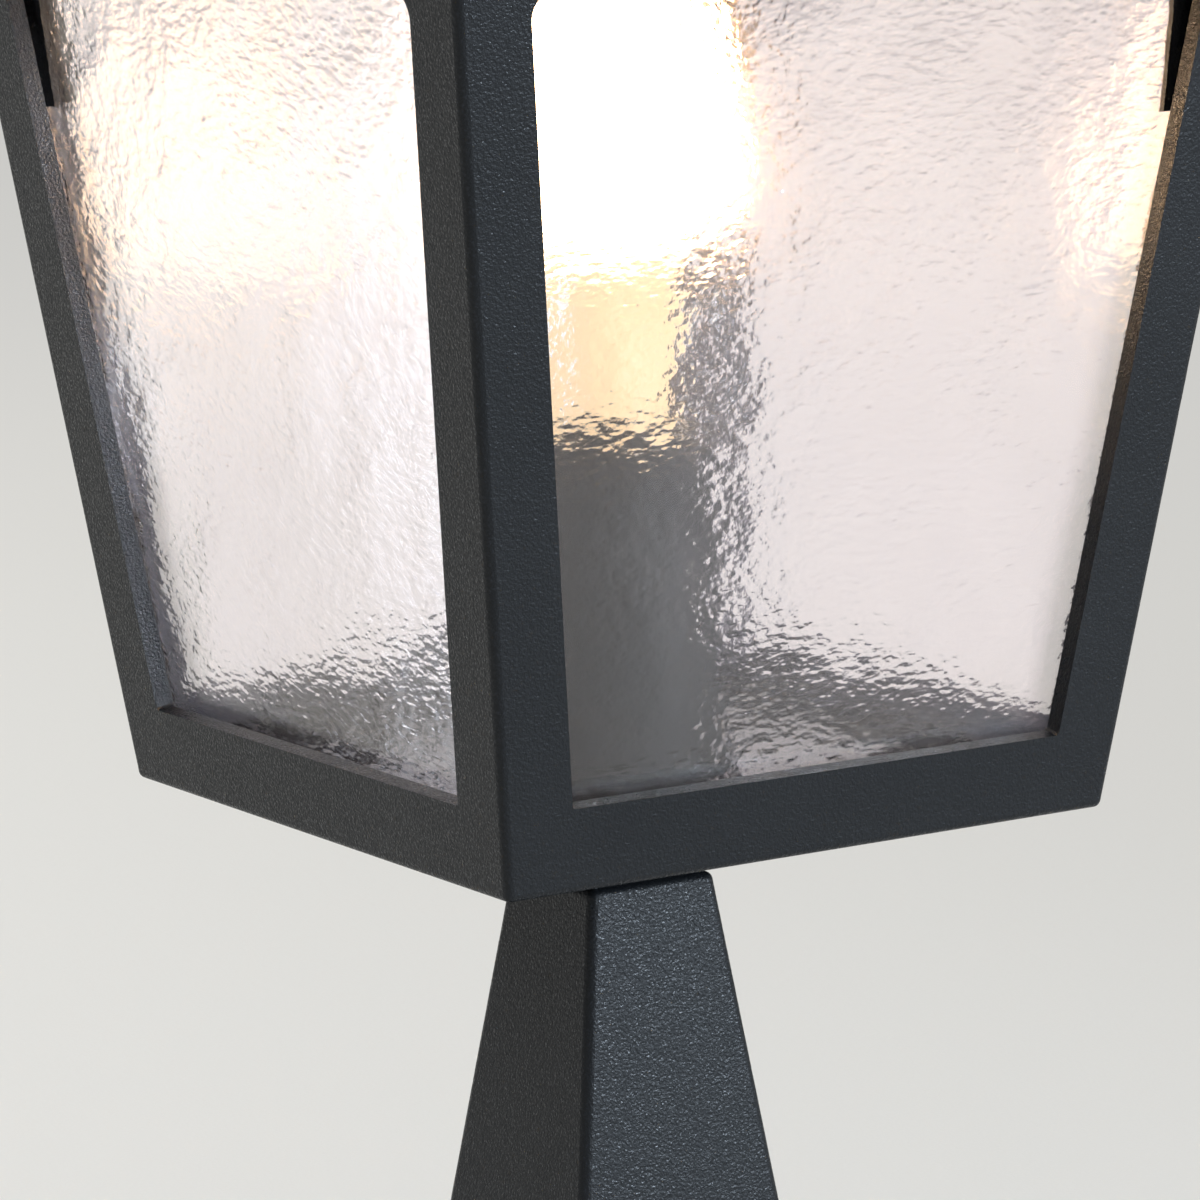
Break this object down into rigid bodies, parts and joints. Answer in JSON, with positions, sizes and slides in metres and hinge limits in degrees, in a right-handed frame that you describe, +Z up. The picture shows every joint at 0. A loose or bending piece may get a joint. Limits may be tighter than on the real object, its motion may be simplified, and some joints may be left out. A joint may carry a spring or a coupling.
{
  "type": "pedestal lantern",
  "caption": "Square tapered garden lantern on a pyramid pedestal: arched glazed windows, screw-in lamp, and a vented roof that hinges back once its thumb screws are slackened.",
  "frame": {"origin": "centre of the four fixing holes, on the face that the foot's gasket rests on", "axes": "+Z up the lantern, +X to the right seen from the front, -Y the front with the two thumb screws, +Y the back with the roof hinge"},
  "size_m": [0.202, 0.2251, 0.5474],
  "materials": {
    "black_powder_coat": "fine-textured black polyester powder coat on die-cast aluminium",
    "hammered_glass": "clear patterned glass with a fine ripple on its outer face",
    "black_silicone": "matt black silicone sponge",
    "zinc_plated_steel": "bright zinc plate, lightly brushed",
    "stainless_steel": "turned stainless steel",
    "floor_tray_paint": "gloss black enamel on pressed steel",
    "holder_sleeve_paint": "satin dark grey paint on an aluminium tube",
    "white_reflector": "bright rolled aluminium sheet",
    "holder_ceramic": "unglazed white steatite",
    "black_plastic": "moulded black nylon, fine spark texture",
    "terminal_plastic": "moulded natural nylon",
    "brass": "drawn brass, slightly dulled",
    "wire_sleeving": "silicone sleeving over stranded copper",
    "lit_bulb_glass": "frosted warm white glass, lit from inside",
    "nickel_cap": "nickel-plated brass thread",
    "black_glass": "black glass insulator",
    "lamp_stem_glass": "clear pressed glass stem",
    "lit_filament": "yellow phosphor-coated filament, lit"
  },
  "bodies": {
    "base": {"pedestal": "black_powder_coat", "neck_collar": "black_powder_coat", "cage": "black_powder_coat", "floor_plate": "black_powder_coat", "pane_brackets": "black_powder_coat", "top_rail": "black_powder_coat", "pane_front": "hammered_glass", "pane_right": "hammered_glass", "pane_back": "hammered_glass", "pane_left": "hammered_glass", "pane_seals": "black_silicone", "roof_seal": "black_silicone", "base_gasket": "black_silicone", "pane_bracket_screws": "zinc_plated_steel", "floor_plate_screws": "zinc_plated_steel", "stem_tube": "zinc_plated_steel", "stem_nuts": "zinc_plated_steel", "stem_washers": "zinc_plated_steel", "base_plate": "zinc_plated_steel", "base_plate_screws": "zinc_plated_steel", "top_rail_screws": "stainless_steel", "hinge_pin": "stainless_steel", "floor_tray": "floor_tray_paint", "holder_sleeve": "holder_sleeve_paint", "holder_body": "holder_ceramic", "holder_cup": "black_plastic", "cable_gland": "black_plastic", "terminal_block": "terminal_plastic", "terminal_screws": "brass", "holder_contacts": "brass", "earth_screw": "brass", "lead_wires": "wire_sleeving"},
    "roof": {"roof": "black_powder_coat", "reflector": "white_reflector", "reflector_rivets": "white_reflector", "vent_cap": "black_powder_coat", "finial": "black_powder_coat", "finial_stud": "zinc_plated_steel", "finial_nut": "zinc_plated_steel"},
    "thumb_screw_left": {"thumb_screw_left": "stainless_steel"},
    "thumb_screw_right": {"thumb_screw_right": "stainless_steel"},
    "bulb": {"bulb_glass": "lit_bulb_glass", "bulb_cap": "nickel_cap", "bulb_insulator": "black_glass", "bulb_contact": "brass", "filament_mount": "lamp_stem_glass", "filaments": "lit_filament"}
  },
  "joints": [
    {"name": "roof_hinge", "type": "hinge", "parent": "base", "child": "roof", "pos_m": [0, 0.11, 0.388], "axis": [-1, 0, 0], "range_deg": [0, 95]},
    {"name": "thumb_left_turn", "type": "hinge", "parent": "roof", "child": "thumb_screw_left", "pos_m": [-0.055, -0.101, 0.3959], "axis": [0, -1, 0], "range_deg": [0, 1080]},
    {"name": "thumb_right_turn", "type": "hinge", "parent": "roof", "child": "thumb_screw_right", "pos_m": [0.055, -0.101, 0.3959], "axis": [0, -1, 0], "range_deg": [0, 1080]},
    {"name": "bulb_turn", "type": "hinge", "parent": "base", "child": "bulb", "pos_m": [0, 0, 0.2647], "axis": [0, 0, 1], "range_deg": [0, 810]}
  ]
}
